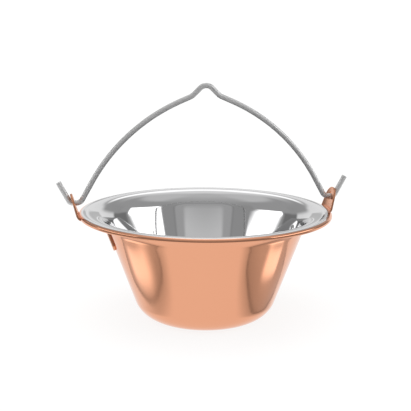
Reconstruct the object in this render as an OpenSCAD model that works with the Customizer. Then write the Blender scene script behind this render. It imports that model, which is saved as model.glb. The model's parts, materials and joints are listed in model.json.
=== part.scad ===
// Soup kettle: a copper bowl with a stainless steel lining and a flared rim, hung from a bent wire bail.
// Millimetres. Z is up, the origin is the centre of the base on the bowl's axis, and the bail turns about X.

/* [Bowl] */
// Diameter over the rim
rim_d = 240; // [236:1:244]
// Height from the base to the top of the rim
bowl_h = 104.5; // [102:0.5:107]
// Diameter of the flat base
base_d = 87; // [84:1:90]
// Radius between the base and the wall, outside
base_r = 26; // [23:1:28]
// Lean of the wall from vertical, in degrees
wall_lean = 20; // [19:0.5:21]
// Radius of the flare between the wall and the flat lip, outside
flare_r = 20; // [18:1:22]
// Radius of the rolled bead at the rim
bead_r = 2.2; // [2:0.1:2.4]
// How far the bead stands above the flat lip
bead_rise = 0.4; // [0.2:0.1:0.6]

/* [Sheet] */
// Thickness of the copper shell
copper_t = 1.5; // [1.2:0.1:1.8]
// Thickness of the steel liner
steel_t = 1; // [0.8:0.1:1.2]

/* [Ears] */
// Thickness of each strap
ear_t = 2; // [1.6:0.1:2.2]
// Width of the strap on the wall and under the rim
ear_w = 29; // [27:1:31]
// Radius of the rounded top of the ear
ear_top_r = 12; // [11:0.5:12.5]
// Height of the top of the ear above the pivot
ear_rise = 8.6; // [8:0.1:9.5]
// Lowest point of the strap on the wall, above the base
ear_foot_z = 70; // [68:1:72]
// Radius of the two corners of the foot
ear_foot_r = 6; // [4:1:8]
// Lean of the upright part of the ear from vertical, in degrees
ear_lean = 14; // [12:1:16]
// Inside radius of the bend where the strap turns up outside the rim
ear_bend_r = 3.2; // [3:0.1:3.5]
// Diameter of the hole for the bail
ear_hole_d = 7.6; // [7.4:0.1:8.4]

/* [Rivets] */
// Shank diameter
rivet_d = 4; // [3:0.5:4.5]
// Diameter of the countersunk head, flush in the strap
rivet_head_d = 7; // [6.5:0.1:7.2]
// Diameter of the low head inside the bowl
rivet_pan_d = 8.4; // [8:0.2:9]
// Height of the low head
rivet_pan_h = 1.1; // [0.9:0.1:1.3]
// Distance between the two rivets of an ear
rivet_pitch = 14; // [12:0.5:15]
// Height of the rivets above the base
rivet_z = 80; // [79:1:81]

/* [Bail] */
// Wire diameter
wire_d = 5; // [4.5:0.1:5]
// Height of the pivot above the base
pivot_z = 114.3; // [113.5:0.1:115]
// Height of the wire's middle at the peak above the pivot
bail_rise = 107.6; // [106:0.1:109]
// Lean of the legs from vertical, in degrees
leg_lean = 29.5; // [29:0.5:30]
// Slope of the shoulders on both sides of the hook notch, in degrees
shoulder_slope = 23; // [22:0.5:24]
// Radius of the two long curves of the arch
arch_r = 175; // [170:1:180]
// Length of the notch's straight flanks
notch_flank = 7.3; // [6:0.1:8]
// Lean of the upturned tails from vertical, in degrees
tail_lean = 28; // [26:1:30]
// Straight length of each upturned tail
tail_len = 20; // [17:0.5:21]

/* [Hidden] */
$fn = 180;

spare = 2;                      // how far a cutting or trimming solid runs past what it cuts
overlap = 0.15;                 // how far joined pieces of one solid run into each other

rim_r = rim_d / 2;
sheet_t = copper_t + steel_t;
lip_z = bowl_h - bead_rise - sheet_t;  // underside of the lip
base_flat_r = base_d / 2;
arc_n = 14;                     // facets of each rounded corner of a section

// The wall is the line of points whose distance along its outward normal is wall_n.
wall_n = base_flat_r * cos(wall_lean) - base_r * sin(wall_lean) + base_r;
flare_c = [(wall_n + flare_r + (lip_z - flare_r) * sin(wall_lean)) / cos(wall_lean), lip_z - flare_r];
bead_c = [rim_r - bead_r, bowl_h - bead_r];
bead_a = 180 + asin((bead_c[1] - lip_z) / bead_r);  // where the underside of the lip meets the bead
seam_a = 68;                    // how far up the bead the copper reaches before the steel begins

// Upright of the ear, in the plane of its side view
bend_back = 2.1;                // how far the bend's centre lies inside the rim's edge
bend_c = [rim_r - bend_back, lip_z + ear_bend_r];
ear_start = bend_c + ear_bend_r * [cos(ear_lean), -sin(ear_lean)];
ear_end = ear_start + (pivot_z + ear_rise + spare - ear_start[1]) * [tan(ear_lean), 1];
// Where the middle of the strap's thickness crosses the height of the pivot
pivot_x = ear_start[0] + (pivot_z - ear_start[1]) * tan(ear_lean) + ear_t / 2 / cos(ear_lean);
slot_room = 0.5;                // room beside the strap where it passes through the bead

slot_reach = 6;                 // half the height and depth of the box that limits the slot
rivet_gap = 0.05;               // room round a rivet in its holes
shank_in = 0.5;                 // how far a shank runs into its low head
pan_root = 0.6;                 // how far the low head reaches into the curved wall before it is trimmed
cut_z = [40, 97];               // heights between which a rivet is trimmed to the wall

// Bend radii of the wire, along its middle
knee_r = 6;
tail_r = 3.5;
valley_r = 15;
peak_r = 8;
flank_slope = 45;
// Straight part of the wire that turns in the hole
pin_in = 3.1;
pin_out = 0.8;
bend_thin = 0.05;               // how much thinner a bend is than the straights it joins

function arc(c, r, a0, a1, n) = [for (i = [0:n]) c + r * [cos(a0 + (a1 - a0) * i / n), sin(a0 + (a1 - a0) * i / n)]];

function reversed(v) = [for (i = [len(v) - 1:-1:0]) v[i]];

// Radius of the wall at height z, at a depth o inside its outer face
function wall_r(z, o) = (wall_n - o + z * sin(wall_lean)) / cos(wall_lean);

// Section of the bowl at a depth o inside its outer face, from the base to the lip, as [radius, height]
function section(o) = concat(
    [[0, o]],
    arc([base_flat_r, base_r], base_r - o, -90, -wall_lean, arc_n),
    arc(flare_c, flare_r + o, 180 - wall_lean, 90, arc_n)
);

// Solid whose side is the wall at a depth o inside its outer face
module wall_cone(o) {
    rotate_extrude()
        polygon([[0, cut_z[0]], [wall_r(cut_z[0], o), cut_z[0]], [wall_r(cut_z[1], o), cut_z[1]], [0, cut_z[1]]]);
}

module on_side(side) {
    mirror([side < 0 ? 1 : 0, 0, 0])
        children();
}

// Places its children on the outer face of the wall at one rivet, with the outward normal as Z
module at_rivet(side, end) {
    on_side(side)
        translate([wall_r(rivet_z, 0), end * rivet_pitch / 2, rivet_z])
            rotate([0, 90 + wall_lean, 0])
                children();
}

// Shank and countersunk head of a rivet, or with room added the hole for them
module rivet_stem(room) {
    head_h = (rivet_head_d - rivet_d) / 2;
    stem_d = rivet_d + 2 * room;
    translate([0, 0, -sheet_t - shank_in])
        cylinder(d = stem_d, h = sheet_t + shank_in + ear_t, $fn = 48);
    translate([0, 0, ear_t - head_h])
        cylinder(d1 = stem_d, d2 = stem_d + 2 * (head_h + spare), h = head_h + spare, $fn = 48);
}

module rivet_holes(side) {
    for (end = [-1, 1])
        at_rivet(side, end)
            rivet_stem(rivet_gap);
}

// Where a sheet's upper face meets the round of radius r that it takes over the bead
function bead_start(r) = 180 - asin((r - bead_rise) / r);

// The shell's sheet ends in a bead, open where the two straps pass under the lip
module copper_shell() {
    color("#d98a5f")
        difference() {
            rotate_extrude()
                polygon(concat(
                    section(0),
                    arc(bead_c, bead_r, bead_a - 360, seam_a, 3 * arc_n),
                    arc(bead_c, bead_r - steel_t, seam_a, bead_start(bead_r - steel_t), arc_n),
                    reversed(section(copper_t))
                ));
            for (side = [-1, 1]) {
                rivet_holes(side);
                on_side(side)
                    intersection() {
                        rotate_extrude()
                            strap_section(ear_t + spare);
                        translate([rim_r, 0, lip_z])
                            cube([2 * slot_reach, ear_w + 2 * slot_room, 2 * slot_reach], center = true);
                    }
            }
        }
}

// The liner's sheet covers the top of the bead
module steel_liner() {
    color("#c9cbce")
        difference() {
            rotate_extrude()
                polygon(concat(
                    section(copper_t),
                    arc(bead_c, bead_r - steel_t, bead_start(bead_r - steel_t), seam_a, arc_n),
                    arc(bead_c, bead_r, seam_a, bead_start(bead_r), arc_n),
                    reversed(section(sheet_t))
                ));
            rivet_holes(-1);
            rivet_holes(1);
        }
}

// Side view of a strap of thickness t: along the wall and under the lip, then up outside the rim
module strap_section(t) {
    low_z = ear_foot_z - spare;
    polygon(concat(
        [[wall_r(low_z, 0), low_z]],
        arc(flare_c, flare_r, 180 - wall_lean, 90, arc_n),
        arc(bend_c, ear_bend_r, -90, -ear_lean, arc_n),
        [ear_end, ear_end + t * [cos(ear_lean), -sin(ear_lean)]],
        arc(bend_c, ear_bend_r + t, -ear_lean, -90, arc_n),
        arc(flare_c, flare_r - t, 90, 180 - wall_lean, arc_n),
        [[wall_r(low_z, -t), low_z]]
    ));
}

// Face view of the strap: rounded corners at the foot, then narrowing above the rim to a round top
module strap_outline() {
    half = ear_w / 2;
    top_z = pivot_z + ear_rise - ear_top_r;
    drop = top_z - lip_z;
    touch_a = acos(ear_top_r / norm([half, drop])) - atan2(drop, half);
    touch = ear_top_r * [cos(touch_a), sin(touch_a)];
    translate([0, top_z])
        circle(r = ear_top_r);
    polygon([[-half, lip_z], [half, lip_z], [touch[0], top_z + touch[1]], [-touch[0], top_z + touch[1]]]);
    translate([-half, ear_foot_z + ear_foot_r])
        square([ear_w, lip_z - ear_foot_z - ear_foot_r]);
    translate([ear_foot_r - half, ear_foot_z])
        square([ear_w - 2 * ear_foot_r, ear_foot_r + overlap]);
    for (end = [-1, 1])
        translate([end * (half - ear_foot_r), ear_foot_z + ear_foot_r])
            circle(r = ear_foot_r);
}

module ear(side) {
    color("#d98a5f")
        difference() {
            on_side(side)
                intersection() {
                    rotate_extrude()
                        strap_section(ear_t);
                    translate([rim_r / 2, 0, 0])
                        rotate([90, 0, 90])
                            linear_extrude(height = rim_r)
                                strap_outline();
                }
            on_side(side)
                translate([pivot_x, 0, pivot_z])
                    rotate([0, 90 + ear_lean, 0])
                        cylinder(d = ear_hole_d, h = ear_t + 4 * spare, center = true, $fn = 64);
            rivet_holes(side);
        }
}

module rivet(side, end) {
    pan_r = (pow(rivet_pan_d / 2, 2) + pow(rivet_pan_h, 2)) / (2 * rivet_pan_h);
    color("#c9cbce") {
        intersection() {
            at_rivet(side, end)
                rivet_stem(0);
            wall_cone(-ear_t);
        }
        intersection() {
            at_rivet(side, end)
                translate([0, 0, -sheet_t]) {
                    intersection() {
                        translate([0, 0, pan_r - rivet_pan_h])
                            sphere(r = pan_r);
                        translate([0, 0, -rivet_pan_h - spare])
                            cylinder(d = rivet_pan_d, h = rivet_pan_h + spare, $fn = 64);
                    }
                    cylinder(d = rivet_pan_d, h = pan_root, $fn = 64);
                }
            wall_cone(sheet_t);
        }
    }
}

// Way covered by a bend of radius r that turns the wire from slope a to slope b
function bend_way(r, a, b) = sign(b - a) * r * [sin(b) - sin(a), cos(a) - cos(b)];

function heading(a) = [cos(a), sin(a)];

// The lengths of the leg and of the shoulder that close the arch between the pivot and the peak
leg_slope = 90 - leg_lean;
arch_rest = [pivot_x - pin_in, bail_rise]
    - bend_way(knee_r, 0, leg_slope) - bend_way(arch_r, leg_slope, shoulder_slope)
    - bend_way(valley_r, shoulder_slope, flank_slope) - notch_flank * heading(flank_slope)
    - bend_way(peak_r, flank_slope, 0);
closing = cross(heading(leg_slope), heading(shoulder_slope));
leg_len = cross(arch_rest, heading(shoulder_slope)) / closing;
shoulder_len = cross(heading(leg_slope), arch_rest) / closing;

// The wire from the tip of the left tail to the peak, as [length, radius, slope before, slope after]
half_wire = [
    [tail_len, tail_r, tail_lean - 90, 0],
    [pin_in + pin_out, knee_r, 0, leg_slope],
    [leg_len, arch_r, leg_slope, shoulder_slope],
    [shoulder_len, valley_r, shoulder_slope, flank_slope],
    [notch_flank, peak_r, flank_slope, 0]
];

function way(s) = s[0] * heading(s[2]) + bend_way(s[1], s[2], s[3]);

function start_of(i) = i == 0
    ? [-pivot_x - pin_out, pivot_z] - way(half_wire[0])
    : start_of(i - 1) + way(half_wire[i - 1]);

// One bend, from the point p: the ring's centre lies square to the wire's slope
module bend(p, r, a, b) {
    turn = sign(b - a);
    c = p + turn * r * [-sin(a), cos(a)];
    translate([c[0], 0, c[1]])
        rotate([90, 0, 0])
            rotate([0, 0, min(a, b) - turn * 90])
                rotate_extrude(angle = abs(b - a))
                    translate([r, 0])
                        circle(d = wire_d - bend_thin, $fn = 48);
}

module half_bail() {
    for (i = [0:len(half_wire) - 1]) {
        s = half_wire[i];
        p = start_of(i);
        before = i == 0 ? 0 : overlap;
        translate([p[0], 0, p[1]])
            rotate([0, 90 - s[2], 0])
                translate([0, 0, -before])
                    cylinder(d = wire_d, h = before + s[0] + overlap, $fn = 48);
        bend(p + s[0] * heading(s[2]), s[1], s[2], s[3]);
    }
}

module bail_handle() {
    color("#b9bbbe") {
        half_bail();
        mirror([1, 0, 0])
            half_bail();
        // joins the two halves at the peak
        translate([-overlap, 0, pivot_z + bail_rise])
            rotate([0, 90, 0])
                cylinder(d = wire_d, h = 2 * overlap, $fn = 48);
    }
}

copper_shell();
steel_liner();
ear(-1);  // left_ear
ear(1);  // right_ear
rivet(-1, -1);  // left_front_rivet
rivet(-1, 1);  // left_back_rivet
rivet(1, -1);  // right_front_rivet
rivet(1, 1);  // right_back_rivet
bail_handle();
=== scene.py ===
# Soup kettle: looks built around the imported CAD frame. Z is up and the bail turns about X.
# Lengths are in millimetres and angles in degrees, unless a comment says otherwise.
import json
import math

import bpy
from mathutils import Matrix, Vector
from mathutils.geometry import delaunay_2d_cdt


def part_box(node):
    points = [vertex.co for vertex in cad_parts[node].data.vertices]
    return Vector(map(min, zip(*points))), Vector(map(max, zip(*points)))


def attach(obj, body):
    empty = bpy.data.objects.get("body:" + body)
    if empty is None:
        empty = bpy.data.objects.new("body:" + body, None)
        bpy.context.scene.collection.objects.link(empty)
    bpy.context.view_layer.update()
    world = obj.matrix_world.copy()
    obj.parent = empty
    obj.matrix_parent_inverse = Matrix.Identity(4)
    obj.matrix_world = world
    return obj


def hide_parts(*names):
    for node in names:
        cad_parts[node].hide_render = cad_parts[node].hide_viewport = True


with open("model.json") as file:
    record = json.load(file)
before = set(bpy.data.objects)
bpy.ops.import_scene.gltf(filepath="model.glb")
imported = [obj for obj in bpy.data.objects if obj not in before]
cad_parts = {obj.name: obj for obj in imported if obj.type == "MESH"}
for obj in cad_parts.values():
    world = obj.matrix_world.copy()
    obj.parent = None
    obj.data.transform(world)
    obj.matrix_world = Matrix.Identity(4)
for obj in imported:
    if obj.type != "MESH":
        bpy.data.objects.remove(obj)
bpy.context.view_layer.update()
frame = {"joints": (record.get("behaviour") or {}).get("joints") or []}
MM = 0.001  # metres


def sin(a):
    return math.sin(math.radians(a))


def cos(a):
    return math.cos(math.radians(a))


# ---------------------------------------------------------------- sizes
shell_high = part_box("copper_shell")[1]
liner_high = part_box("steel_liner")[1]
bail_low, bail_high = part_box("bail_handle")
pivot_z = frame["joints"][0]["pos_m"][2] / MM

# the bowl: a flat base, a rounded foot, a leaning wall, a flare, a flat lip and a bead round its edge
rim_r = shell_high.x / MM
bowl_h = liner_high.z / MM
copper_t, steel_t = 1.5, 1.0
sheet_t = copper_t + steel_t
base_flat_r, base_r, wall_lean, flare_r = 43.5, 26.0, 20.0, 20.0
bead_rise, seam_a = 0.4, 77.0
# the bead's section from below: the radius of each round and the angle where the next one takes over
bead_rounds = [(1.4, -15.0), (3.0, 15.0), (1.5, 66.0), (7.0, 92.0), (1.6, 180.0)]
WIDEST, CROWN = 1, 3  # the rounds that reach the rim's radius and the top of the bead
lip_z = bowl_h - bead_rise - copper_t - steel_t
wall_n = base_flat_r * cos(wall_lean) - base_r * sin(wall_lean) + base_r
flare_c = ((wall_n + flare_r + (lip_z - flare_r) * sin(wall_lean)) / cos(wall_lean), lip_z - flare_r)

# the ears
ear_t, ear_w, ear_top_r, ear_rise, ear_lean = 2.0, 29.0, 12.0, 8.6, 14.0
ear_foot_z, ear_foot_r, ear_bend_r, ear_hole_d = 70.0, 6.0, 3.2, 7.6
ear_edge_r, hole_edge_r, rivet_hole_edge_r = 0.35, 0.3, 0.06
bend_inset = 2.1  # from the rim's radius to the centre of the strap's turn
bend_c = (rim_r - bend_inset, lip_z + ear_bend_r)
slot_room = 0.5  # between a strap and the bead, on each side

# the rivets
rivet_r, rivet_head_r, rivet_pan_r, rivet_pan_h, rivet_pitch, rivet_z = 2.0, 3.5, 4.2, 1.1, 14.0, 80.0
rivet_cone_h, rivet_hole_room = 1.5, 0.05
pan_edge = [(0.0, 0.12), (0.05, 0.2)]  # (how far in, how far into the liner)
head_edge = [(0.0, 0.12), (0.03, 0.05), (0.12, 0.005)]  # (how far in, how far below the face)

# the bail
wire_r = (bail_high.y - bail_low.y) / 2 / MM
bail_rise = bail_high.z / MM - wire_r - pivot_z
leg_lean, shoulder_slope, arch_r, flank_slope, notch_flank = 29.5, 23.0, 175.0, 45.0, 7.3
tail_lean, tail_len, tail_r, knee_r, valley_r, peak_r = 28.0, 20.0, 3.5, 6.0, 15.0, 8.0
pin_in, pin_out = 3.1, 0.8  # the pin's straight length inside and outside the middle of the ear
# the wire's eased ends: (distance from the cut, share of the radius)
wire_end = [(0.0, 0.45), (0.0, 0.86), (0.12, 0.95), (0.4, 1.0)]

# edges sharper than this stay sharp
SHEET_SHARP, RIVET_SHARP, WIRE_SHARP = 40, 35, 50


def arc(c, r, a0, a1, n):
    """The n + 1 points of an arc from the angle a0 to a1."""
    angles = [a0 + (a1 - a0) * i / n for i in range(n + 1)]
    return [(c[0] + r * cos(a), c[1] + r * sin(a)) for a in angles]


def line(p, q, n):
    """Points between p and q, without the two ends."""
    return [(p[0] + (q[0] - p[0]) * i / n, p[1] + (q[1] - p[1]) * i / n) for i in range(1, n)]


# ---------------------------------------------------------------- mesh helpers
def new_object(name, verts, faces, body, material, replaces):
    """A smooth-shaded piece that moves with a body and stands in for CAD nodes."""
    mesh = bpy.data.meshes.new(name)
    mesh.from_pydata([tuple(c * MM for c in v) for v in verts], [], faces)
    mesh.validate()
    mesh.update()
    obj = bpy.data.objects.new(name, mesh)
    bpy.context.scene.collection.objects.link(obj)
    mesh.materials.append(material)
    mesh.polygons.foreach_set("use_smooth", [True] * len(mesh.polygons))
    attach(obj, body)
    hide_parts(*replaces)
    return obj


def sharpen(obj, degrees):
    """Marks the edges sharper than an angle, so smooth shading stops there."""
    obj.data.set_sharp_from_angle(angle=math.radians(degrees))


def lathe(rings):
    """Verts and faces of a closed solid of revolution. rings is a list of (angle, profile). All profiles
    have the same number of points, and their first and last points lie on the axis."""
    count = len(rings[0][1]) - 2
    first, last = rings[0][1][0], rings[0][1][-1]
    verts = [(0.0, 0.0, first[1]), (0.0, 0.0, last[1])]
    for a, profile in rings:
        verts += [(p[0] * cos(a), p[0] * sin(a), p[1]) for p in profile[1:-1]]
    faces = []
    n = len(rings)
    for j in range(n):
        s, t = 2 + j * count, 2 + ((j + 1) % n) * count
        faces.append((0, t, s))
        for i in range(count - 1):
            faces.append((s + i, t + i, t + i + 1, s + i + 1))
        faces.append((s + count - 1, t + count - 1, 1))
    return verts, faces


def on_side(side, across, r, z):
    """The point at a radius r and a height z on one side of the kettle, moved across along Y."""
    return (side * math.sqrt(r * r - across * across), across, z)


def faces_on_side(side, faces):
    """The faces, turned round on the left side, where the points are mirrored."""
    return faces if side > 0 else [f[::-1] for f in faces]


# ---------------------------------------------------------------- shader helpers
def nodes_of(name):
    """A new material, its emptied node tree and its output node."""
    m = bpy.data.materials.new(name)
    m.use_nodes = True
    t = m.node_tree
    t.nodes.clear()
    out = t.nodes.new("ShaderNodeOutputMaterial")
    return m, t, out


def link(t, a, b):
    t.links.new(a, b)


def put(t, value, socket):
    """Sets a socket to a number, or links another node's output to it."""
    if isinstance(value, (int, float)):
        socket.default_value = value
    else:
        link(t, value, socket)


def math_node(t, op, a, b=None, clamp=False):
    n = t.nodes.new("ShaderNodeMath")
    n.operation = op
    n.use_clamp = clamp
    put(t, a, n.inputs[0])
    if b is not None:
        put(t, b, n.inputs[1])
    return n.outputs[0]


def distance_node(t, x, y):
    """How far (x, y) is from (0, 0)."""
    squares = math_node(t, "ADD", math_node(t, "MULTIPLY", x, x), math_node(t, "MULTIPLY", y, y))
    return math_node(t, "SQRT", squares)


def noise(t, vector, scale, detail=3.0, rough=0.5):
    n = t.nodes.new("ShaderNodeTexNoise")
    link(t, vector, n.inputs["Vector"])
    n.inputs["Scale"].default_value = scale
    n.inputs["Detail"].default_value = detail
    n.inputs["Roughness"].default_value = rough
    return n.outputs["Fac"]


def ramp(t, value, low, high, to_low, to_high):
    n = t.nodes.new("ShaderNodeMapRange")
    link(t, value, n.inputs["Value"])
    for key, v in (("From Min", low), ("From Max", high), ("To Min", to_low), ("To Max", to_high)):
        n.inputs[key].default_value = v
    return n.outputs["Result"]


def mix_colour(t, fac, a, b):
    n = t.nodes.new("ShaderNodeMix")
    n.data_type = "RGBA"
    link(t, fac, n.inputs["Factor"])
    for key, colour in (("A", a), ("B", b)):
        socket = next(s for s in n.inputs if s.name == key and s.type == "RGBA")
        socket.default_value = (*colour, 1.0)
    return next(s for s in n.outputs if s.type == "RGBA")


# ---------------------------------------------------------------- materials
FINE_LINES, BROAD_LINES, SMEARS, CLOUDS = 1400.0, 160.0, 26.0, 9.0  # noise scales, per metre
CLOUDY, LINED = (0.3, 0.75), (0.3, 0.7)  # the noise between these values is what shows
LINE_DEPTH = 0.00004  # metres


def grain(t, where, along_strap):
    """Coordinates whose noise makes lines, round the axis or along a strap."""
    xyz = t.nodes.new("ShaderNodeSeparateXYZ")
    link(t, where, xyz.inputs[0])
    x, y, z = xyz.outputs
    radius = distance_node(t, x, y)
    if along_strap:
        parts = [math_node(t, "MULTIPLY", v, stretch) for v, stretch in ((y, 3.0), (radius, 0.3), (z, 0.3))]
    else:
        turn = math_node(t, "ARCTAN2", y, x)
        parts = [math_node(t, "MULTIPLY", turn, 0.012), radius, z]
    lines = t.nodes.new("ShaderNodeCombineXYZ")
    for part, socket in zip(parts, lines.inputs):
        link(t, part, socket)
    return lines.outputs[0]


def polished(name, colour, tarnish, rough, lines, wear, along_strap=False):
    """Polished metal: faint lines, soft smears in its gloss and clouds of tarnish."""
    m, t, out = nodes_of(name)
    bsdf = t.nodes.new("ShaderNodeBsdfPrincipled")
    link(t, bsdf.outputs[0], out.inputs["Surface"])
    bsdf.inputs["Metallic"].default_value = 1.0
    where = t.nodes.new("ShaderNodeTexCoord").outputs["Object"]
    lined = grain(t, where, along_strap)
    fine = noise(t, lined, FINE_LINES, 2.0, 0.6)
    broad = noise(t, lined, BROAD_LINES, 2.0, 0.5)
    smear = noise(t, where, SMEARS, 4.0, 0.55)
    cloud = noise(t, where, CLOUDS, 3.0, 0.5)

    tint = math_node(t, "MULTIPLY", ramp(t, cloud, *CLOUDY, 0.0, 1.0), wear, clamp=True)
    link(t, mix_colour(t, tint, colour, tarnish), bsdf.inputs["Base Color"])

    smeared = ramp(t, smear, *CLOUDY, rough * 0.8, rough * 1.35)
    scratched = ramp(t, fine, *LINED, -rough * 0.12, rough * 0.18)
    link(t, math_node(t, "ADD", smeared, scratched), bsdf.inputs["Roughness"])

    bump = t.nodes.new("ShaderNodeBump")
    bump.inputs["Strength"].default_value = lines
    bump.inputs["Distance"].default_value = LINE_DEPTH
    link(t, math_node(t, "ADD", math_node(t, "MULTIPLY", fine, 0.6), broad), bump.inputs["Height"])
    link(t, bump.outputs[0], bsdf.inputs["Normal"])
    return m


# name, colour, its colour where tarnished, roughness, strength of the lines, share of tarnish
copper = polished("polished_copper", (0.84, 0.402, 0.242), (0.79, 0.352, 0.212), 0.09, 0.06, 0.30)
strap_copper = polished("strap_copper", (0.78, 0.37, 0.215), (0.55, 0.22, 0.12), 0.17, 0.14, 0.55, True)
steel = polished("polished_steel", (0.615, 0.615, 0.62), (0.58, 0.58, 0.59), 0.045, 0.05, 0.35)
rivet_steel = polished("rivet_steel", (0.58, 0.58, 0.585), (0.46, 0.46, 0.46), 0.16, 0.12, 0.5, True)
wire_steel = polished("wire_steel", (0.80, 0.80, 0.80), (0.74, 0.74, 0.745), 0.50, 0.02, 0.5, True)

# ---------------------------------------------------------------- the bowl: copper shell and steel liner
SEGMENTS = 288
FLAT_STEPS, FOOT_STEPS, WALL_STEPS, FLARE_STEPS = 14, 26, 24, 32
ROUND_STEPS, CROWN_STEPS, INNER_STEPS = 12, 8, 10
NOTCH_STEP = 0.03  # half the turn between a full section and a notched one
NOTCH_CLEAR = 0.4  # no other section comes this close to a notch's end


def section(o):
    """Section of the bowl at a depth o inside its outer face, from the axis to the lip."""
    base = arc((base_flat_r, base_r), base_r - o, -90, -wall_lean, FOOT_STEPS)
    flare = arc(flare_c, flare_r + o, 180 - wall_lean, 90, FLARE_STEPS)
    out = [(0.0, o)] + line((0.0, o), base[0], FLAT_STEPS)
    out += base + line(base[-1], flare[0], WALL_STEPS) + flare
    return out


def bead_centres():
    """Centres of the bead's rounds, which meet smoothly and reach the rim's radius and the bowl's height."""
    centres = [(0.0, 0.0)]
    for (r, a), (next_r, _) in zip(bead_rounds, bead_rounds[1:]):
        x, z = centres[-1]
        centres.append((x + (r - next_r) * cos(a), z + (r - next_r) * sin(a)))
    dx = rim_r - bead_rounds[WIDEST][0] - centres[WIDEST][0]
    dz = bowl_h - bead_rounds[CROWN][0] - centres[CROWN][1]
    return [(x + dx, z + dz) for x, z in centres]


centres = bead_centres()


def crown(o):
    """Top of the bead at a depth o inside it, from the seam to where it meets the sheet's upper face."""
    (r0, turn), (r1, _) = bead_rounds[CROWN:]
    rise = bowl_h - bead_rise - o - centres[-1][1]
    meets = 180 - math.degrees(math.asin(rise / (r1 - o)))
    top = arc(centres[CROWN], r0 - o, seam_a, turn, CROWN_STEPS)
    return top + arc(centres[-1], r1 - o, turn, meets, INNER_STEPS)[1:]


def cut_to_strap(p):
    """A point of the bead, moved onto the inner face of the strap if it lies beyond it."""
    x, z = p[0] - bend_c[0], p[1] - bend_c[1]
    if math.hypot(x, z) <= ear_bend_r and p[1] >= lip_z:
        return p
    if x < 0:
        return (p[0], max(p[1], lip_z))
    a = math.atan2(z, x)
    return (bend_c[0] + ear_bend_r * math.cos(a), bend_c[1] + ear_bend_r * math.sin(a))


def bead_points(cut):
    """Outside of the bead from the lip's underside to the seam, cut back to a strap or whole."""
    a = math.degrees(math.asin((centres[0][1] - lip_z) / bead_rounds[0][0])) - 180
    points = []
    for c, (r, end) in zip(centres, bead_rounds[:CROWN + 1]):
        end = min(end, seam_a)
        points += arc(c, r, a, end, ROUND_STEPS)[1 if points else 0:]
        a = end
    return [cut_to_strap(p) for p in points] if cut else points


def shell_profile(cut):
    return section(0.0) + bead_points(cut) + crown(steel_t) + section(copper_t)[::-1]


def shell_rings():
    """The shell's sections all the way round. Those where a strap passes the bead are notched."""
    full, notched = shell_profile(False), shell_profile(True)
    notch_half = math.degrees(math.asin((ear_w / 2 + slot_room) / rim_r))
    rings = []
    for i in range(SEGMENTS):
        a = 360.0 * i / SEGMENTS
        off = min(abs(a - c) for c in (0.0, 180.0, 360.0))
        if abs(off - notch_half) > NOTCH_CLEAR:
            rings.append((a, notched if off < notch_half else full))
    for c in (0.0, 180.0):
        for s in (-1, 1):
            rings.append(((c + s * notch_half - s * NOTCH_STEP) % 360, notched))
            rings.append(((c + s * notch_half + s * NOTCH_STEP) % 360, full))
    return sorted(rings, key=lambda ring: ring[0])


verts, faces = lathe(shell_rings())
shell = new_object("shell", verts, faces, "kettle", copper, ["copper_shell"])
sharpen(shell, SHEET_SHARP)

liner_profile = section(copper_t) + crown(steel_t)[::-1] + crown(0.0) + section(sheet_t)[::-1]
verts, faces = lathe([(360.0 * i / SEGMENTS, liner_profile) for i in range(SEGMENTS)])
liner = new_object("liner", verts, faces, "kettle", steel, ["steel_liner"])
sharpen(liner, SHEET_SHARP)

# ---------------------------------------------------------------- the ears: bent straps
# A strap is laid out flat, as (across, length s from its foot, height over its inner face), and then bent.
# From the side it goes up the wall, round the flare, out under the lip, round a turn and up to the pivot.
foot = ((wall_n + ear_foot_z * sin(wall_lean)) / cos(wall_lean), ear_foot_z)
flare_start_z = flare_c[1] + flare_r * sin(wall_lean)
ear_start = (bend_c[0] + ear_bend_r * cos(ear_lean), bend_c[1] - ear_bend_r * sin(ear_lean))
# the lengths where the flare, the stretch under the lip, the turn and the upright end start
s_flare = (flare_start_z - ear_foot_z) / cos(wall_lean)
s_under = s_flare + flare_r * math.radians(90 - wall_lean)
s_turn = s_under + (bend_c[0] - flare_c[0])
s_up = s_turn + ear_bend_r * math.radians(90 - ear_lean)

LONGEST_UPRIGHT, HALVINGS = 30, 50
CORNER_STEPS, TAPER_STEPS, TOP_STEPS, EDGE_STEPS = 14, 18, 36, 4
SIDE_STEP = 0.7
HOLE_STEP, RIVET_HOLE_STEP = 6, 9  # degrees
# the points spread over a strap's face: the first row, and how far apart they are across and along the strap
FIRST_ROW, ACROSS_STEP, ACROSS_COUNT = 0.6, 0.93, 15
TURN_STEP, FLARE_STEP, STRAIGHT_STEP = 0.22, 0.55, 0.9
OUTLINE_CLEAR, HOLE_CLEAR = 0.45, 0.35


def strap_point(s, h):
    """Radius and height of the strap at a length s from its foot, h outside its inner face."""
    if s <= s_flare:
        r, z = foot[0] + s * sin(wall_lean), foot[1] + s * cos(wall_lean)
        return r + h * cos(wall_lean), z - h * sin(wall_lean)
    if s <= s_under:
        a = 180 - wall_lean - math.degrees((s - s_flare) / flare_r)
        return flare_c[0] + (flare_r - h) * cos(a), flare_c[1] + (flare_r - h) * sin(a)
    if s <= s_turn:
        return flare_c[0] + s - s_under, lip_z - h
    if s <= s_up:
        a = -90 + math.degrees((s - s_turn) / ear_bend_r)
        return bend_c[0] + (ear_bend_r + h) * cos(a), bend_c[1] + (ear_bend_r + h) * sin(a)
    u = s - s_up
    r, z = ear_start[0] + u * sin(ear_lean), ear_start[1] + u * cos(ear_lean)
    return r + h * cos(ear_lean), z - h * sin(ear_lean)


def s_of_z(z):
    """Length from the foot where the middle of the strap's thickness reaches the height z, past the rim."""
    low, high = s_turn, s_up + LONGEST_UPRIGHT
    for _ in range(HALVINGS):
        mid = (low + high) / 2
        if strap_point(mid, ear_t / 2)[1] < z:
            low = mid
        else:
            high = mid
    return low


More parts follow.
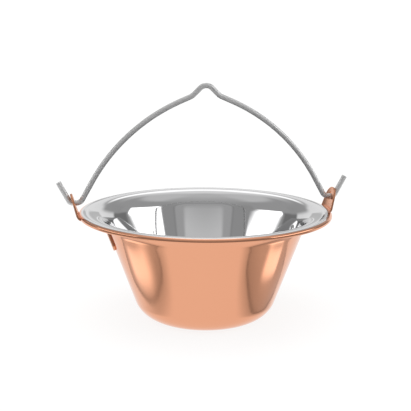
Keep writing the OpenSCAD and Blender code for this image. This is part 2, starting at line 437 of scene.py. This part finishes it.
def strap_outline():
    """The flat strap's outline, anticlockwise: round corners, straight sides, a taper and a round top."""
    half = ear_w / 2
    top_z = pivot_z + ear_rise - ear_top_r
    drop = top_z - lip_z
    touch = math.degrees(math.acos(ear_top_r / math.hypot(half, drop)))
    touch -= math.degrees(math.atan2(drop, half))
    touch_x, touch_z = ear_top_r * cos(touch), top_z + ear_top_r * sin(touch)
    s_lip = s_of_z(lip_z)
    right = arc((half - ear_foot_r, ear_foot_r), ear_foot_r, -90, 0, CORNER_STEPS)
    n = int((s_lip - ear_foot_r) / SIDE_STEP)
    right += [(half, ear_foot_r + (s_lip - ear_foot_r) * i / n) for i in range(1, n + 1)]
    for i in range(1, TAPER_STEPS):
        z = lip_z + (touch_z - lip_z) * i / TAPER_STEPS
        right.append((half + (touch_x - half) * i / TAPER_STEPS, s_of_z(z)))
    top = []
    for i in range(TOP_STEPS + 1):
        a = touch + (180 - 2 * touch) * i / TOP_STEPS
        top.append((ear_top_r * cos(a), s_of_z(top_z + ear_top_r * sin(a))))
    return right + top + [(-x, s) for x, s in right[::-1]]


def hole_outline(x, s, r, step):
    """A round hole, clockwise."""
    return [(x + r * cos(-a), s + r * sin(-a)) for a in range(0, 360, step)]


def strap_loops():
    """The strap's outline, the bail's hole and the rivets' holes, each with the radius of its edge."""
    rivet_s = (rivet_z - ear_foot_z) / cos(wall_lean)
    loops = [
        (strap_outline(), ear_edge_r),
        (hole_outline(0.0, s_of_z(pivot_z), ear_hole_d / 2, HOLE_STEP), hole_edge_r),
    ]
    for end in (-1, 1):
        hole = hole_outline(end * rivet_pitch / 2, rivet_s, rivet_head_r + rivet_hole_room, RIVET_HOLE_STEP)
        loops.append((hole, rivet_hole_edge_r))
    return loops


def edge_path(r):
    """A rounded edge from the inner face to the outer one, as (how far in from the edge, height)."""
    angles = [90 * k / EDGE_STEPS for k in range(EDGE_STEPS + 1)]
    path = [(r - r * sin(a), r * (1 - cos(a))) for a in angles]
    return path + [(inset, ear_t - h) for inset, h in path[::-1]]


def offset_loop(loop, d):
    """The loop moved by d to its left, that is inwards on an anticlockwise loop."""
    out = []
    n = len(loop)
    for i in range(n):
        p, q = Vector(loop[i - 1]), Vector(loop[(i + 1) % n])
        t = (q - p).normalized()
        out.append((loop[i][0] - t.y * d, loop[i][1] + t.x * d))
    return out


def inside(p, loop):
    x, y = p
    hit = False
    for i in range(len(loop)):
        (x0, y0), (x1, y1) = loop[i - 1], loop[i]
        if (y0 > y) != (y1 > y) and x < (x1 - x0) * (y - y0) / (y1 - y0) + x0:
            hit = not hit
    return hit


def near(p, loop, d):
    return any((p[0] - q[0]) ** 2 + (p[1] - q[1]) ** 2 < d * d for q in loop)


def face_rows():
    """Lengths from the foot of the rows of points on a strap's face, closer together where it bends."""
    rows = []
    s = FIRST_ROW
    top = s_of_z(pivot_z + ear_rise)
    while s < top:
        rows.append(s)
        if s_turn - 0.3 < s < s_up + 0.3:
            s += TURN_STEP
        elif s_flare - 1 < s < s_under + 1:
            s += FLARE_STEP
        else:
            s += STRAIGHT_STEP
    return rows


def face_points(outline, holes):
    """Points spread over a strap's face, clear of its outline and of its holes."""
    points = []
    for s in face_rows():
        for i in range(-ACROSS_COUNT, ACROSS_COUNT + 1):
            p = (i * ACROSS_STEP, s)
            in_hole = any(inside(p, hole) or near(p, hole, HOLE_CLEAR) for hole in holes)
            if inside(p, outline) and not near(p, outline, OUTLINE_CLEAR) and not in_hole:
                points.append(p)
    return points


def strap_edges():
    """Verts and faces of the rounded edges. Also, for each loop, the first of its verts on the inner face
    and on the outer face, and the loop where both faces start."""
    verts, faces, rims = [], [], []
    for loop, edge_r in strap_loops():
        path = edge_path(edge_r)
        start, n = len(verts), len(loop)
        for inset, h in path:
            verts += [(p[0], p[1], h) for p in offset_loop(loop, inset)]
        for k in range(len(path) - 1):
            for i in range(n):
                a, b = start + k * n + i, start + k * n + (i + 1) % n
                faces.append((a, b, b + n, a + n))
        rims.append((start, start + (len(path) - 1) * n, offset_loop(loop, edge_r)))
    return verts, faces, rims


def flat_strap():
    """Verts and faces of the flat strap. Its two faces share one triangulation."""
    verts, faces, rims = strap_edges()
    outline, *holes = [rim[2] for rim in rims]
    points, edges = [], []
    both_faces = []  # for each point, its vert on the inner face and on the outer face
    for inner, outer, loop in rims:
        k, n = len(points), len(loop)
        edges += [(k + i, k + (i + 1) % n) for i in range(n)]
        both_faces += [(inner + i, outer + i) for i in range(n)]
        points += loop
    spread = face_points(outline, holes)
    inner, outer = len(verts), len(verts) + len(spread)
    both_faces += [(inner + i, outer + i) for i in range(len(spread))]
    points += spread
    for h in (0.0, ear_t):
        verts += [(p[0], p[1], h) for p in spread]

    got, _, tris, origin, _, _ = delaunay_2d_cdt([Vector(p) for p in points], edges, [], 0, 1e-5)
    for tri in tris:
        middle = [sum(got[i][j] for i in tri) / len(tri) for j in (0, 1)]
        if not inside(middle, outline) or any(inside(middle, hole) for hole in holes):
            continue
        a, b, c = (Vector((*got[i][:2], 0.0)) for i in tri[:3])
        if (b - a).cross(c - a).z < 0:
            tri = tri[::-1]
        faces.append(tuple(both_faces[origin[i][0]][1] for i in tri))
        faces.append(tuple(both_faces[origin[i][0]][0] for i in tri[::-1]))
    return verts, faces


flat_verts, flat_faces = flat_strap()
for side, name in ((-1, "left"), (1, "right")):
    verts = [on_side(side, across, *strap_point(s, h)) for across, s, h in flat_verts]
    faces = faces_on_side(side, flat_faces)
    new_object(name + "_strap_ear", verts, faces, "kettle", strap_copper, [name + "_ear"])

# ---------------------------------------------------------------- rivets: flush outside, low head inside
RIVET_SEGMENTS, DOME_STEPS = 48, 10


def rivet_profile():
    """Section of a rivet from its low head outwards. Its height is 0 at the bowl's outer face."""
    dome_r = (rivet_pan_r ** 2 + rivet_pan_h ** 2) / (2 * rivet_pan_h)
    half_a = math.degrees(math.asin(rivet_pan_r / dome_r))
    low = -sheet_t - rivet_pan_h
    angles = [half_a * i / DOME_STEPS for i in range(DOME_STEPS + 1)]
    profile = [(dome_r * sin(a), low + dome_r * (1 - cos(a))) for a in angles]
    profile += [(rivet_pan_r - inset, -sheet_t + h) for inset, h in pan_edge]
    profile += [(rivet_r, profile[-1][1]), (rivet_r, ear_t - rivet_cone_h)]
    profile += [(rivet_head_r - inset, ear_t - h) for inset, h in head_edge]
    return profile + [(rivet_head_r * share, ear_t) for share in (0.66, 0.33, 0.0)]


profile = rivet_profile()
rivet_verts, rivet_faces = lathe([(360.0 * i / RIVET_SEGMENTS, profile) for i in range(RIVET_SEGMENTS)])
rivet_out = (wall_n + rivet_z * sin(wall_lean)) / cos(wall_lean)
for side, name in ((-1, "left"), (1, "right")):
    for end, place in ((-1, "front"), (1, "back")):
        verts = []
        for u, v, w in rivet_verts:  # u across, v up the wall, w outwards
            across = end * rivet_pitch / 2 + u
            r = rivet_out + v * sin(wall_lean) + w * cos(wall_lean)
            z = rivet_z + v * cos(wall_lean) - w * sin(wall_lean)
            verts.append(on_side(side, across, r, z))
        faces = faces_on_side(side, rivet_faces)
        node = f"{name}_{place}_rivet"
        rivet = new_object(f"rivet_{name}_{place}", verts, faces, "kettle", rivet_steel, [node])
        sharpen(rivet, RIVET_SHARP)

# ---------------------------------------------------------------- the bail: one bent wire
SIDES = 40
# steps along a straight stretch and along a bend, and degrees of a bend
PLAIN_STEP, BEND_STEP, BEND_TURN = 1.5, 3, 3


def heading(a):
    return Vector((cos(a), sin(a)))


def bend_way(r, a, b):
    """The way from the start to the end of a bend of radius r that turns the slope from a to b."""
    return math.copysign(r, b - a) * Vector((sin(b) - sin(a), cos(a) - cos(b)))


def cross(a, b):
    return a.x * b.y - a.y * b.x


def half_bail(pivot_x):
    """The wire from the left tail to the middle: each straight length, and the radius and the slopes before
    and after the bend that follows it. The leg and the shoulder are as long as the bail's height asks for."""
    leg_slope = 90 - leg_lean
    rest = Vector((pivot_x - pin_in, bail_rise))
    rest = rest - bend_way(knee_r, 0, leg_slope) - bend_way(arch_r, leg_slope, shoulder_slope)
    notch = bend_way(valley_r, shoulder_slope, flank_slope) + notch_flank * heading(flank_slope)
    rest -= notch + bend_way(peak_r, flank_slope, 0)
    closing = cross(heading(leg_slope), heading(shoulder_slope))
    leg_len = cross(rest, heading(shoulder_slope)) / closing
    shoulder_len = cross(heading(leg_slope), rest) / closing
    return [
        (tail_len, tail_r, tail_lean - 90, 0.0),
        (pin_in + pin_out, knee_r, 0.0, leg_slope),
        (leg_len, arch_r, leg_slope, shoulder_slope),
        (shoulder_len, valley_r, shoulder_slope, flank_slope),
        (notch_flank, peak_r, flank_slope, 0.0),
    ]


def bail_stations():
    """Points of the wire's middle line in XZ with the slope there, from the left tail to the right one."""
    to_pivot = (pivot_z - ear_start[1]) * math.tan(math.radians(ear_lean))
    pivot_x = ear_start[0] + to_pivot + ear_t / 2 / cos(ear_lean)
    half_wire = half_bail(pivot_x)
    way = [length * heading(a) + bend_way(r, a, b) for length, r, a, b in half_wire]
    p = Vector((-pivot_x - pin_out, pivot_z)) - way[0]
    stations = []
    for (length, r, a, b), w in zip(half_wire, way):
        n = max(2, int(length / PLAIN_STEP))
        stations += [(p + heading(a) * length * i / n, a) for i in range(n)]
        q = p + heading(a) * length
        stations.append((q, a))
        n = max(6, int(abs(b - a) / BEND_TURN), int(math.radians(abs(b - a)) * r / BEND_STEP))
        for i in range(1, n):
            slope = a + (b - a) * i / n
            stations.append((q + bend_way(r, a, slope), slope))
        p = p + w
    return stations + [(p, 0.0)] + [(Vector((-q.x, q.y)), -a) for q, a in stations[::-1]]


def wire_mesh(stations):
    """Verts and faces of the round wire, with eased edges at its two ends."""
    (first, first_a), (last, last_a) = stations[0], stations[-1]
    rows = [(first + heading(first_a) * d, first_a, wire_r * share) for d, share in wire_end]
    rows += [(q, a, wire_r) for q, a in stations[1:-1]]
    rows += [(last - heading(last_a) * d, last_a, wire_r * share) for d, share in wire_end[::-1]]
    verts, faces = [], []
    for q, a, r in rows:
        for i in range(SIDES):
            f = 360.0 * i / SIDES
            verts.append((q.x - sin(a) * r * cos(f), r * sin(f), q.y + cos(a) * r * cos(f)))
    for k in range(len(rows) - 1):
        for i in range(SIDES):
            j = (i + 1) % SIDES
            faces.append((k * SIDES + i, k * SIDES + j, (k + 1) * SIDES + j, (k + 1) * SIDES + i))
    end, hub = (len(rows) - 1) * SIDES, len(verts)
    verts += [(first.x, 0.0, first.y), (last.x, 0.0, last.y)]
    for i in range(SIDES):
        j = (i + 1) % SIDES
        faces.append((hub, j, i))
        faces.append((hub + 1, end + i, end + j))
    return verts, faces


verts, faces = wire_mesh(bail_stations())
bail = new_object("bail_wire", verts, faces, "bail", wire_steel, ["bail_handle"])
sharpen(bail, WIRE_SHARP)

# ---------------------------------------------------------------- camera
VIEW_AZ, VIEW_EL, ROLL = 10.0, 11.6, 0.35
DISTANCE, AIM_Z, CLIP_START = 0.7928, 0.1082, 0.05  # metres
SENSOR, LENS = 36, 72.65
look = Vector((cos(VIEW_EL) * sin(VIEW_AZ), cos(VIEW_EL) * cos(VIEW_AZ), -sin(VIEW_EL)))
to_cam = Vector((-sin(VIEW_AZ), -cos(VIEW_AZ), 0))
to_right = Vector((cos(VIEW_AZ), -sin(VIEW_AZ), 0))
cam_data = bpy.data.cameras.new("camera")
cam = bpy.data.objects.new("camera", cam_data)
bpy.context.scene.collection.objects.link(cam)
cam.location = Vector((0, 0, AIM_Z)) - look * DISTANCE
aimed = look.to_track_quat("-Z", "Y").to_matrix()
cam.rotation_euler = (aimed @ Matrix.Rotation(math.radians(ROLL), 3, "Z")).to_euler()
cam_data.sensor_width = SENSOR
cam_data.lens = LENS
cam_data.clip_start = CLIP_START
bpy.context.scene.camera = cam


# ---------------------------------------------------------------- shading helpers for the studio
def dot(t, direction, v):
    n = t.nodes.new("ShaderNodeVectorMath")
    n.operation = "DOT_PRODUCT"
    link(t, direction, n.inputs[0])
    n.inputs[1].default_value = v
    return n.outputs["Value"]


def both(t, a, b):
    return math_node(t, "MULTIPLY", a, b)


def soft_step(t, value, edge, width):
    """0 below the edge, 1 above it, with a soft change of the given width."""
    n = t.nodes.new("ShaderNodeMapRange")
    n.interpolation_type = "SMOOTHSTEP"
    link(t, value, n.inputs["Value"])
    n.inputs["From Min"].default_value = edge - width / 2
    n.inputs["From Max"].default_value = edge + width / 2
    return n.outputs["Result"]


def below(t, value, edge, width):
    """1 below the edge, 0 above it."""
    return math_node(t, "SUBTRACT", 1.0, soft_step(t, value, edge, width))


def window(t, value, low, high, width):
    """1 between low and high, 0 outside them."""
    return both(t, soft_step(t, value, low, width), below(t, value, high, width))


def lay(t, under, mask, level):
    """The level where the mask is 1, and what was under it where it is 0."""
    n = t.nodes.new("ShaderNodeMix")
    n.data_type = "FLOAT"
    link(t, mask, n.inputs["Factor"])
    a, b = [s for s in n.inputs if s.name in ("A", "B") and s.type == "VALUE"]
    put(t, under, a)
    put(t, level, b)
    return next(s for s in n.outputs if s.type == "VALUE")


def card(t, x, y, corners, r):
    """Distance from within a convex card: r on its rounded outline, 0 well inside. Its corners go
    anticlockwise."""
    total = 0.0
    for (x0, y0), (x1, y1) in zip(corners, corners[1:] + corners[:1]):
        side_len = math.hypot(x1 - x0, y1 - y0)
        nx, ny = (y1 - y0) / side_len, (x0 - x1) / side_len
        part = math_node(t, "ADD", math_node(t, "MULTIPLY", x, nx), math_node(t, "MULTIPLY", y, ny))
        part = math_node(t, "MAXIMUM", math_node(t, "SUBTRACT", part, nx * x0 + ny * y0 - r), 0.0)
        total = math_node(t, "ADD", math_node(t, "MULTIPLY", part, part), total)
    return math_node(t, "SQRT", total)


def disc(name, radius, material):
    """A flat disc that is part of the studio. Its radius is in metres."""
    mesh = bpy.data.meshes.new(name)
    points = [(radius * cos(a), radius * sin(a), 0) for a in range(0, 360, 5)]
    mesh.from_pydata(points, [], [tuple(range(len(points)))])
    mesh.materials.append(material)
    obj = bpy.data.objects.new(name, mesh)
    bpy.context.scene.collection.objects.link(obj)
    return obj


# ---------------------------------------------------------------- floor
FLOOR_R = 4  # metres
FLOOR_GLOW = 0.86
PAPER_CLOUDS = 3.0  # noise scale, per metre


def floor_paper():
    """White paper that glows, so that the kettle's shadow stays faint."""
    m, t, out = nodes_of("floor_paper")
    glow = t.nodes.new("ShaderNodeEmission")
    glow.inputs["Strength"].default_value = FLOOR_GLOW
    paper = t.nodes.new("ShaderNodeBsdfDiffuse")
    where = t.nodes.new("ShaderNodeTexCoord").outputs["Object"]
    clouds = noise(t, where, PAPER_CLOUDS)
    link(t, mix_colour(t, clouds, (0.16, 0.16, 0.16), (0.17, 0.17, 0.169)), paper.inputs["Color"])
    add = t.nodes.new("ShaderNodeAddShader")
    link(t, glow.outputs[0], add.inputs[0])
    link(t, paper.outputs[0], add.inputs[1])
    link(t, add.outputs[0], out.inputs["Surface"])
    return m


floor = disc("floor", FLOOR_R, floor_paper())
floor.visible_glossy = False

# ---------------------------------------------------------------- what the metal mirrors from below
# White paper near the kettle, a dark room beyond it, and a grey card with a soft lamp on each side. They are
# laid out with x to the right and y towards the camera. u is x without its sign.
MIRROR_Z, MIRROR_R = -0.25, 6  # metres
TO_MM = 1000.0
PAPER, DARK_ROOM, SHADE = 0.97, 0.30, 0.62
CARD_R = 40.0
LAMP_SLANT = 0.28
# edge is the level of a card's edge and lamp that of its lamp. middle is the u of the lamp's middle where y
# is 0. The lamp's reach across and its two ends are each (place, softness).
CARDS = [
    dict(
        corners=[(-284, 180), (-420, 180), (-545, -280), (-418, -330)],
        edge=0.28,
        lamp=1.5,
        middle=410.0,
        reach=(45, 60),
        near_end=(68, 130),
        far_end=(-222, 110),
    ),
    dict(
        corners=[(280, 205), (366, -400), (440, -400), (545, -250), (410, 205)],
        edge=0.24,
        lamp=1.62,
        middle=425.0,
        reach=(36, 36),
        near_end=(25, 60),
        far_end=(-178, 36),
    ),
]


def lay_card(t, level, x, y, one):
    """A grey card with its shade on the paper, a darker edge and a soft slanting lamp."""
    u = math_node(t, "ABSOLUTE", x)
    d = card(t, x, y, one["corners"], CARD_R)
    level = lay(t, level, both(t, below(t, d, 75, 80), below(t, u, 340, 80)), SHADE)
    level = lay(t, level, below(t, d, CARD_R, 5), one["edge"])
    level = lay(t, level, below(t, d, 29, 14), ramp(t, u, 300.0, 390.0, 0.46, 0.62))
    slanted = math_node(t, "ADD", u, math_node(t, "MULTIPLY", y, LAMP_SLANT))
    across = math_node(t, "ABSOLUTE", math_node(t, "SUBTRACT", slanted, one["middle"]))
    along = both(t, below(t, y, *one["near_end"]), soft_step(t, y, *one["far_end"]))
    lit = both(t, below(t, across, *one["reach"]), along)
    on_card = below(t, d, 34, 14)
    return lay(t, level, both(t, lit, on_card), one["lamp"])


def mirrored_below():
    m, t, out = nodes_of("mirrored_below")
    where = t.nodes.new("ShaderNodeTexCoord").outputs["Object"]
    x = math_node(t, "MULTIPLY", dot(t, where, to_right), TO_MM)
    y = math_node(t, "MULTIPLY", dot(t, where, to_cam), TO_MM)
    distance = distance_node(t, x, y)
    level = lay(t, PAPER, both(t, soft_step(t, distance, 740, 160), soft_step(t, y, -300, 300)), DARK_ROOM)
    level = lay(t, level, both(t, soft_step(t, distance, 2600, 600), soft_step(t, y, -900, 600)), DARK_ROOM)
    for one in CARDS:
        level = lay_card(t, level, x, y, one)
    glow = t.nodes.new("ShaderNodeEmission")
    link(t, level, glow.inputs["Strength"])
    link(t, glow.outputs[0], out.inputs["Surface"])
    return m


mirrored = disc("mirrored_below", MIRROR_R, mirrored_below())
mirrored.location = (0, 0, MIRROR_Z)
mirrored.visible_camera = False
mirrored.visible_diffuse = False
mirrored.visible_shadow = False
mirrored.visible_transmission = False
mirrored.visible_volume_scatter = False

# ---------------------------------------------------------------- studio round the kettle
BOARD = [(-40, 0), (45, 0), (45, 42), (-40, 42)]  # side azimuth and elevation of its corners
BOARD_R = 22.0
SOFTBOX = 2.6
BACKGROUND = 1.05  # what the camera itself sees


def lay_areas(t, light, areas):
    """Areas laid over the light one after another. Each is (mask across, mask up, level)."""
    for across, up, level in areas:
        light = lay(t, light, both(t, across, up), level)
    return light


def studio_light(t, side_az, rise):
    """Level of the studio in each direction. side_az is 0 towards the camera and positive to its right,
    far_az is the same without its sign, and rise is the elevation."""
    far_az = math_node(t, "ABSOLUTE", side_az)
    light = ramp(t, rise, 45.0, 85.0, 0.46, 0.68)  # the ceiling
    light = lay_areas(t, light, [
        # the ceiling is brighter above the two sides
        (window(t, far_az, 70, 170, 40), window(t, rise, 53, 80, 12), 0.74),
        # dim side walls
        (window(t, far_az, 52, 165, 24), below(t, rise, 50, 10), 0.45),
        # gaps by the board
        (window(t, far_az, 38, 66, 5), below(t, rise, 38, 14), 0.40),
    ])

    # the board behind the camera: its rim, its border and its middle
    board = card(t, side_az, rise, BOARD, BOARD_R)
    light = lay(t, light, below(t, board, BOARD_R, 1.5), 0.36)
    light = lay(t, light, below(t, board, 19.5, 3.0), 0.50)
    light = lay(t, light, below(t, board, 9.0, 4.0), ramp(t, rise, 26.0, 28.5, 0.79, 0.60))

    return lay_areas(t, light, [
        # dark room under the board
        (below(t, far_az, 60, 6), below(t, rise, 18, 4), 0.30),
        # dark room beside the backdrop
        (window(t, far_az, 116, 144, 6), below(t, rise, 18, 8), 0.24),
        # white backdrop, its dark corners and its grey foot
        (soft_step(t, far_az, 145, 6), below(t, rise, 24, 6), 0.97),
        (window(t, far_az, 130, 168, 10), window(t, rise, 17, 35, 10), 0.42),
        (soft_step(t, far_az, 174, 3), window(t, rise, 3, 12.3, 2), 0.62),
        # strip behind the kettle, and its glow on the ceiling
        (soft_step(t, far_az, 158, 26), window(t, rise, 42, 74, 16), 1.0),
        (soft_step(t, far_az, 171, 7), window(t, rise, 28, 50, 6), 1.65),
        # right and left softbox
        (window(t, side_az, 61, 113, 3), window(t, rise, 13, 31, 3), SOFTBOX),
        (window(t, side_az, -113, -61, 3), window(t, rise, 13, 22, 3), SOFTBOX),
        # dark room beyond the edge of the paper
        (below(t, far_az, 80, 20), below(t, rise, 3, 8), 0.28),
    ])


def build_world():
    world = bpy.data.worlds.new("studio")
    bpy.context.scene.world = world
    world.use_nodes = True
    t = world.node_tree
    t.nodes.clear()
    world_out = t.nodes.new("ShaderNodeOutputWorld")
    back = t.nodes.new("ShaderNodeBackground")
    link(t, back.outputs[0], world_out.inputs["Surface"])
    direction = t.nodes.new("ShaderNodeTexCoord").outputs["Generated"]
    to_deg = 180 / math.pi
    turn = math_node(t, "ARCTAN2", dot(t, direction, to_right), dot(t, direction, to_cam))
    side_az = math_node(t, "MULTIPLY", turn, to_deg)
    rise = math_node(t, "MULTIPLY", math_node(t, "ARCSINE", dot(t, direction, (0, 0, 1))), to_deg)
    light = studio_light(t, side_az, rise)
    camera_ray = t.nodes.new("ShaderNodeLightPath").outputs["Is Camera Ray"]
    link(t, lay(t, light, camera_ray, BACKGROUND), back.inputs["Strength"])
    back.inputs["Color"].default_value = (1, 1, 1, 1)


build_world()

# a broad soft light from above, for the faint shadow on the paper
FILL_ENERGY, FILL_WIDTH, FILL_TILT = 1.6, 70, (12, -8)
fill = bpy.data.lights.new("floor_fill", "SUN")
fill.energy = FILL_ENERGY
fill.angle = math.radians(FILL_WIDTH)
fill_obj = bpy.data.objects.new("floor_fill", fill)
fill_obj.visible_glossy = False
fill_obj.rotation_euler = (math.radians(FILL_TILT[0]), math.radians(FILL_TILT[1]), 0)
bpy.context.scene.collection.objects.link(fill_obj)

bpy.context.scene.view_settings.view_transform = "Standard"
